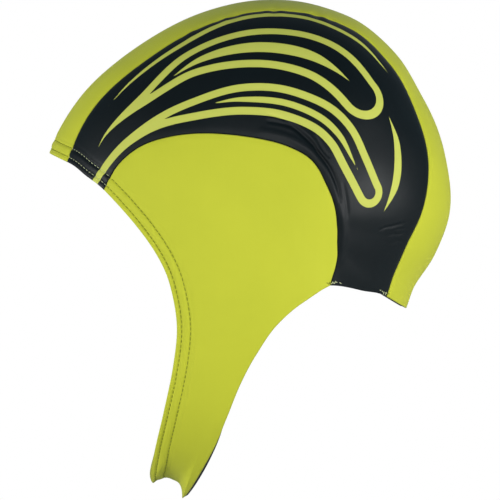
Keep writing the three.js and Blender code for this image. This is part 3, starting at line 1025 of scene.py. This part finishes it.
# A closed sheet: the outer grid, the inner grid, and a wall round the seams and the cut edge. The first
# rows of both grids are one, the fold of the hem.
def sheetMesh(name, panel, materials, mirrored=False, values=()):
    rows, columns = panel["fromFace"].shape
    outerIndex = np.arange(rows * columns).reshape(rows, columns)
    innerIndex = outerIndex + (rows - 1) * columns
    innerIndex[0] = outerIndex[0]

    faceDistance = (panel["fromFace"][:-1, :-1] + panel["fromFace"][1:, 1:]).ravel() / 2
    turnedCut = hem["depths"][2:4, 0]  # where the turned-in cloth is cut off
    turnedIn = [faceDistance < distance for distance in turnedCut]
    innerFinish = np.select(turnedIn, [outerFace, foamFace], innerFace)

    loopRow = np.concatenate([np.arange(rows), np.full(columns - 1, rows - 1), np.arange(rows - 2, -1, -1)])
    loopColumn = np.concatenate([np.zeros(rows, int), np.arange(1, columns), np.full(rows - 1, columns - 1)])
    deeperRow = np.where((loopColumn > 0) & (loopColumn < columns - 1), loopRow - 1, loopRow)
    deeperColumn = np.clip(loopColumn, 1, columns - 2)
    rim = panel["surface"][loopRow, loopColumn]
    sunk = unit(panel["surface"][deeperRow, deeperColumn] - rim)
    top, bottom = panel["outer"][loopRow, loopColumn], panel["inner"][loopRow, loopColumn]
    share, depth = wallLayers[:, 0][:, None, None], wallLayers[:, 1][:, None, None]
    wall = (top + (bottom - top) * share + sunk * depth)[:, 1:-1]
    first = (2 * rows - 1) * columns
    wallIndex = np.empty((len(wallLayers) + 2, len(loopRow)), int)
    wallIndex[0], wallIndex[-1] = outerIndex[loopRow, loopColumn], innerIndex[loopRow, loopColumn]
    wallIndex[1:-1, 1:-1] = first + np.arange(wall.shape[0] * wall.shape[1]).reshape(wall.shape[:2])
    wallIndex[1:-1, 0], wallIndex[1:-1, -1] = wallIndex[0, 0], wallIndex[0, -1]
    a, b = wallIndex[:, 1:-2], wallIndex[:, 2:-1]
    wallQuads = np.stack([a[:-1], b[:-1], b[1:], a[1:]], -1).reshape(-1, 4)
    layerFinish = np.array([outerFace] + [foamFace] * (len(wallLayers) - 1) + [innerFace])
    wallFinish = np.repeat(layerFinish, a.shape[1])
    start, end = wallIndex[:, 1], wallIndex[:, -2]
    corner = np.full(len(start) - 1, wallIndex[0, 0]), np.full(len(start) - 1, wallIndex[0, -1])
    triangles = np.concatenate([
        np.stack([corner[0], start[:-1], start[1:]], -1),
        np.stack([end[:-1], corner[1], end[1:]], -1),
    ])
    quads = np.concatenate([quadsOf(outerIndex), quadsOf(innerIndex)[:, ::-1], wallQuads])
    quadFinish = np.concatenate([np.full((rows - 1) * (columns - 1), outerFace), innerFinish, wallFinish])

    def everywhere(grid):
        layered = np.repeat(grid[loopRow, loopColumn][None, 1:-1], len(wallLayers), 0)
        parts = (grid, grid[1:], layered)
        return np.concatenate([part.reshape(part.shape[0] * part.shape[1], -1) for part in parts])

    points = np.concatenate([part.reshape(-1, 3) for part in (panel["outer"], panel["inner"][1:], wall)])
    # below the fold's heights the face edge joins the seams and cut edges in the edge mask, a painted shade
    # on the lime
    low, high = foldShade["heights"]
    strapFold = panel["fromFace"] + foldShade["off"] * ease((panel["surface"][..., 2] - low) / (high - low))
    edge = np.minimum.reduce([panel["fromTop"], panel["fromBottom"], panel["fromCut"], strapFold])
    given = {label: everywhere(grid).ravel() for label, grid in dict(values, edgeDistance=edge).items()}
    if mirrored:
        points = points * (-1, 1, 1)
        quads, triangles = quads[:, ::-1], triangles[:, ::-1]
    finishes = quadFinish, np.full(len(triangles), foamFace)
    clothMap = everywhere(panel["clothMap"])
    return makeMesh(name, points, (quads, triangles), finishes, materials, "clothMap", clothMap, given)


# ---- print of the side panels
# Waves that run from the brow round to the back. knots: the middle line in the side view, swell: half the
# width along it, line: half the width of the drawn outline (0: the whole wave is filled).
printWaves = [
    {"line": 2.1, "swell": [-2.3, 0.2, 4.2, 8.4, 10.6, 11.4, 10.2], "knots": [
        (-82.0, -71.5), (-76.0, -60.5), (-60.5, -46.5), (-37.0, -28.5), (-6.0, -20.8), (23.0, -26.0),
        (42.5, -43.5)]},
    {"line": 0, "swell": [-0.3, 2.2, 3.1, 2.7, -0.3], "knots": [
        (-50.0, -38.0), (-32.0, -26.5), (-6.0, -21.0), (20.0, -25.5), (40.0, -40.5)]},
    {"line": 1.9, "swell": [0.0, 0.0, 0.9, 3.8, 6.0, 6.3, 6.2, 5.2], "knots": [
        (-90.0, -97.5), (-79.5, -80.5), (-66.0, -65.0), (-43.0, -52.5), (-15.0, -45.8), (11.0, -48.4),
        (33.5, -63.5), (46.0, -89.0)]},
    {"line": 0, "swell": [-0.3, 1.3, 1.6, 1.4, -0.3], "knots": [
        (-34.0, -49.4), (-14.0, -45.8), (11.0, -48.6), (32.0, -62.6), (43.4, -84.0)]},
    {"line": 0, "swell": [-0.3, 1.0, 1.7, 1.8, 1.5, 1.3, -0.3], "knots": [
        (-80.5, -55.5), (-65.5, -37.0), (-45.0, -21.8), (-19.0, -8.6), (12.0, -5.8), (42.0, -18.4),
        (60.0, -40.5)]},
    {"line": 0, "swell": [-0.3, 1.9, 2.1, -0.3], "knots": [
        (54.0, -50.0), (59.0, -66.0), (58.5, -84.0), (51.0, -101.0)]},
]


# Below 0 inside the ink: the distance from the middle line less the swell there, and for an outlined wave
# how far that is from 0, less half the outline. The waves are joined by taking the least.
def printDistance(panel):
    distances = []
    for wave in printWaves:
        distance, share = distanceToLine(panel["surface"], lineOverForm(wave["knots"], lineCounts["print"]))
        swell = smoothLine(np.array(wave["swell"])[:, None])(share * (len(wave["swell"]) - 1))[..., 0]
        edge = distance - swell
        distances.append(np.abs(edge) - wave["line"] if wave["line"] else edge)
    return np.minimum.reduce(distances)


sideInk = {"printDistance": printDistance(sidePanel)}
print("print drawn")

# the right side's waves and creases aren't quite the left side's
moves = {"left": {"moved": 0.0, "shift": 0.0}, "right": {"moved": 1.3, "shift": 2.0}}
stripSeams = {"right": strip["fromTop"], "left": strip["fromBottom"]}
stripWaves = sum(puckerDepth(strip, away, moves[side]["shift"]) for side, away in stripSeams.items())
stripRelief, earRelief = reliefOf(strip, stripWaves), reliefOf(earPanel)
sideReliefs = {
    side: reliefOf(
        sidePanel,
        creaseDepth(sidePanel, move["moved"]) + puckerDepth(sidePanel, sidePanel["fromTop"], move["shift"]),
    )
    for side, move in moves.items()
}
blackCloth, limeCloth = [blackJersey, liningJersey, cutFoam], [limeJersey, liningJersey, cutFoam]
centreStrip = sheetMesh("centre_strip_cloth", stripRelief, limeCloth)
sideCloth, earCloth = {}, {}
for side in ("left", "right"):
    flipped = side == "right"
    sideCloth[side] = sheetMesh(f"side_panel_{side}_cloth", sideReliefs[side], blackCloth, flipped, sideInk)
    earCloth[side] = sheetMesh(f"ear_panel_{side}_cloth", earRelief, limeCloth, flipped)
print("panels made")


# In square metres: half the cross product of each quad's diagonals.
def sheetArea(panel):
    a = panel["surface"][1:, :-1] - panel["surface"][:-1, 1:]
    b = panel["surface"][1:, 1:] - panel["surface"][:-1, :-1]
    return float(np.linalg.norm(np.cross(a, b), axis=-1).sum()) / 2e6


# ---- thread
# where the seams end at the nape: each stitch from one place in the side view to another
tacks = {
    "onLime": [
        [(25.7, -130.8), (27.2, -131.4)], [(26.7, -132.0), (28.0, -130.9)], [(27.4, -130.5), (28.3, -131.7)],
        [(54.8, -136.0), (56.1, -136.5)],
    ],
    "onBlack": [
        [(28.2, -131.6), (29.0, -130.5)], [(28.9, -130.6), (29.7, -131.5)], [(29.5, -131.4), (30.3, -130.3)],
        [(30.1, -130.4), (31.0, -130.9)], [(31.9, -130.7), (33.1, -131.5)],
        [(50.8, -134.1), (52.2, -135.0)], [(51.9, -134.7), (53.3, -135.9)], [(53.4, -135.1), (52.6, -136.7)],
        [(53.7, -135.4), (54.6, -136.8)], [(54.5, -135.5), (53.7, -136.9)],
    ],
}
# one stitch: its length and the thread's thickness, how far it bows outwards, and how far it is lifted from
# the outer and the inner face
hemStitch = {"length": 1.75, "thread": 0.32, "bow": 0.12, "lifts": {"outer": 0.02, "inner": 0.05}}
tackStitch = {"length": 1.5, "thread": 0.42, "bow": 0.16, "sunk": 0.1, "above": 0.03}
seamStitch = {
    "pitch": 2.1,
    "spread": 4.2,  # from one side of the seam to the other
    "thread": 0.36,
    "bow": 0.12,
    "fromHem": 9.6,
    "fromCut": 1.2,
    "beside": 6,  # columns
}
# the thread's mesh: taper thins its ends, the points stand past them by tip thicknesses, tipSunk bows deep
strand = {"sides": 6, "rings": 7, "taper": 0.75, "tip": 0.2, "tipSunk": 0.3}


# Stitches from their middles and their two directions, all with one shape: rings round a line that bows
# outwards (1 - the fourth power of the place along it) and thins at its ends, with a point at each end.
def stitchMesh(name, placed, stitch, materials, finish=0):
    middles, alongs, outs = placed
    length, thick, bow = stitch["length"], stitch["thread"], stitch["bow"]
    sides, rings = strand["sides"], strand["rings"]
    place = np.sin(np.linspace(-1, 1, rings + 2)[1:-1] * np.pi / 2)
    around = np.arange(sides) * 2 * np.pi / sides
    radius = thick / 2 * np.sqrt(1 - strand["taper"] * place**4)
    height = np.outer(radius, np.sin(around)) + (bow * (1 - place**4))[:, None]
    along = np.repeat(place * length / 2, sides)
    tube = np.stack([along, np.outer(radius, np.cos(around)).ravel(), height.ravel()], -1)
    tip, sunk = length / 2 + thick * strand["tip"], -bow * strand["tipSunk"]
    shape = np.concatenate([tube, [(-tip, 0, sunk), (tip, 0, sunk)]])
    last = sides * rings
    a = np.arange(last - sides).reshape(-1, sides)
    b = np.roll(a, -1, axis=1)
    quads = np.stack([a, b, b + sides, a + sides], -1).reshape(-1, 4)
    first, final = np.arange(sides), np.arange(last - sides, last)
    triangles = np.concatenate([
        np.stack([np.full(sides, last), np.roll(first, -1), first], -1),
        np.stack([np.full(sides, last + 1), final, np.roll(final, -1)], -1),
    ])
    outs = unit(outs - (outs * alongs).sum(-1, keepdims=True) * alongs)
    frames = np.stack([alongs, np.cross(outs, alongs), outs], 1)
    points = middles[:, None] + np.einsum("pk,nkc->npc", shape, frames)
    count, size = len(middles), len(shape)
    shift = (np.arange(count) * size)[:, None, None]
    quads, triangles = (quads + shift).reshape(-1, 4), (triangles + shift).reshape(-1, 3)
    turns = np.concatenate([np.tile(np.arange(sides) / sides, rings), [0.5, 0.5]])
    mapPlaces = np.tile(np.stack([shape[:, 0], turns], -1), (count, 1))
    finishes = [np.repeat(np.broadcast_to(finish, count), len(part) // count) for part in (quads, triangles)]
    points = points.reshape(-1, 3)
    return makeMesh(name, points, (quads, triangles), finishes, materials, "threadMap", mapPlaces)


def bothSides(middles, alongs, outs):
    flip = np.array([-1, 1, 1])
    return tuple(np.concatenate([part, part * flip]) for part in (middles, alongs, outs))


halfStep = 0.8  # each stitch lies along the line from this far before its middle to this far past it


# Middles, directions and outward normals of stitches every pitch along a line.
def stitchesAlong(line, outward, pitch):
    lengths = lengthsAlong(line)
    count = int(round(lengths[-1] / pitch))
    runs = (np.arange(count) + 0.5) * lengths[-1] / count

    def sampled(values, shift=0.0):
        return np.stack([np.interp(runs + shift, lengths, values[:, k]) for k in range(3)], -1)

    return sampled(line), unit(sampled(line, halfStep) - sampled(line, -halfStep)), unit(sampled(outward))


# Both rows of the hem, outside and inside, from the middle of the brow to the chin, and which are on black.
def hemStitches():
    kinds, onBlack = [], []
    half = strip["surface"].shape[1] // 2
    for row in hem["stitchRows"]:
        i = hemRow(row)
        for face, sign in (("outer", 1), ("inner", -1)):
            pieces = [stripRelief[face][i, half:], sideReliefs["left"][face][i, 1:-1], earRelief[face][i]]
            normals = [strip["normal"][i, half:], sidePanel["normal"][i, 1:-1], earPanel["normal"][i]]
            line, outward = np.concatenate(pieces), sign * np.concatenate(normals)
            middles, alongs, outs = stitchesAlong(line, outward, stitchPitch)
            kinds.append((middles + hemStitch["lifts"][face] * outs, alongs, outs))
            nearest = np.argmin(np.linalg.norm(middles[:, None] - line[None], axis=-1), axis=1)
            onBlack.append((nearest >= len(pieces[0])) & (nearest < len(pieces[0]) + len(pieces[1])))
    placed = bothSides(*(np.concatenate(parts) for parts in zip(*kinds)))
    return placed, np.tile(np.concatenate(onBlack), 2).astype(int)


# The seams are sewn on the inside only: strands slant to and fro across each seam. They lie as deep as the
# cloth does a few columns beside the seam.
def seamStitches():
    kinds = []
    for panel, column in ((stripRelief, -1), (earRelief, 0), (earRelief, -1)):
        fromFace, fromCut = panel["fromFace"][:, column], panel["fromCut"][:, column]
        inside = (fromFace > seamStitch["fromHem"]) & (fromCut > seamStitch["fromCut"])
        beside = seamStitch["beside"] if column == 0 else -1 - seamStitch["beside"]
        deep = panel["inner"][inside, beside] - panel["surface"][inside, beside]
        line = panel["surface"][inside, column] + deep
        middles, alongs, outs = stitchesAlong(line, -panel["normal"][inside, column], seamStitch["pitch"])
        slant = np.where(np.arange(len(middles)) % 2, seamStitch["spread"], -seamStitch["spread"])[:, None]
        kinds.append((middles, unit(alongs * seamStitch["pitch"] + slant * np.cross(outs, alongs)), outs))
    paired = bothSides(*(np.concatenate(parts) for parts in zip(*kinds[:2])))  # the chin has only one seam
    return tuple(np.concatenate(parts) for parts in zip(paired, kinds[2]))


# Each tack is one stitch between its two places, every one of four a little above the one before it.
def tackStitches():
    pairs = np.array([pair for pairs in tacks.values() for pair in pairs])
    onBlack = np.repeat([0, 1], [len(pairs) for pairs in tacks.values()])
    flat = np.array([[discFromSideView(*place) for place in pair] for pair in pairs])
    ends, outs = formPoint(flat), unit(formNormal(flat).sum(1))
    lift = tackStitch["above"] * (np.arange(len(pairs)) % 4) - tackStitch["sunk"]
    middles = ends.mean(1) + outs * lift[:, None]
    return bothSides(middles, unit(ends[:, 1] - ends[:, 0]), outs), np.tile(onBlack, 2)


seamStitch["length"] = float(np.hypot(seamStitch["pitch"], seamStitch["spread"]))
hemPlaced, hemOnBlack = hemStitches()
tacksPlaced, tacksOnBlack = tackStitches()
# stitches and tacks on the lime take the darker copy of the thread, a painted shade; those on the black take
# the pale thread
threads = [shadedThread, paleThread]
sewn = (
    stitchMesh("hem_stitches", hemPlaced, hemStitch, threads, hemOnBlack),
    stitchMesh("seam_stitches", seamStitches(), seamStitch, [paleThread]),
    stitchMesh("nape_tacks", tacksPlaced, tackStitch, threads, tacksOnBlack),
)
for piece in sewn:
    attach(piece, "root")
print("thread sewn", [len(piece.data.polygons) for piece in sewn])

# the rectangle that each panel is cut from, in metres
flatSizes = {"strip": (0.087, 0.343), "side": (0.075, 0.31), "ear": (0.13, 0.21)}
for piece, node, slot, flat, panel in (
    (centreStrip, "centre_strip", "lime_neoprene", flatSizes["strip"], strip),
    (sideCloth["left"], "side_panel_left", "black_neoprene", flatSizes["side"], sidePanel),
    (sideCloth["right"], "side_panel_right", "black_neoprene", flatSizes["side"], sidePanel),
    (earCloth["left"], "ear_panel_left", "lime_neoprene", flatSizes["ear"], earPanel),
    (earCloth["right"], "ear_panel_right", "lime_neoprene", flatSizes["ear"], earPanel),
):
    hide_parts(node)
    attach(piece, "root")
    print(node, "flat area", round(sheetArea(panel), 5), "faces", len(piece.data.polygons))
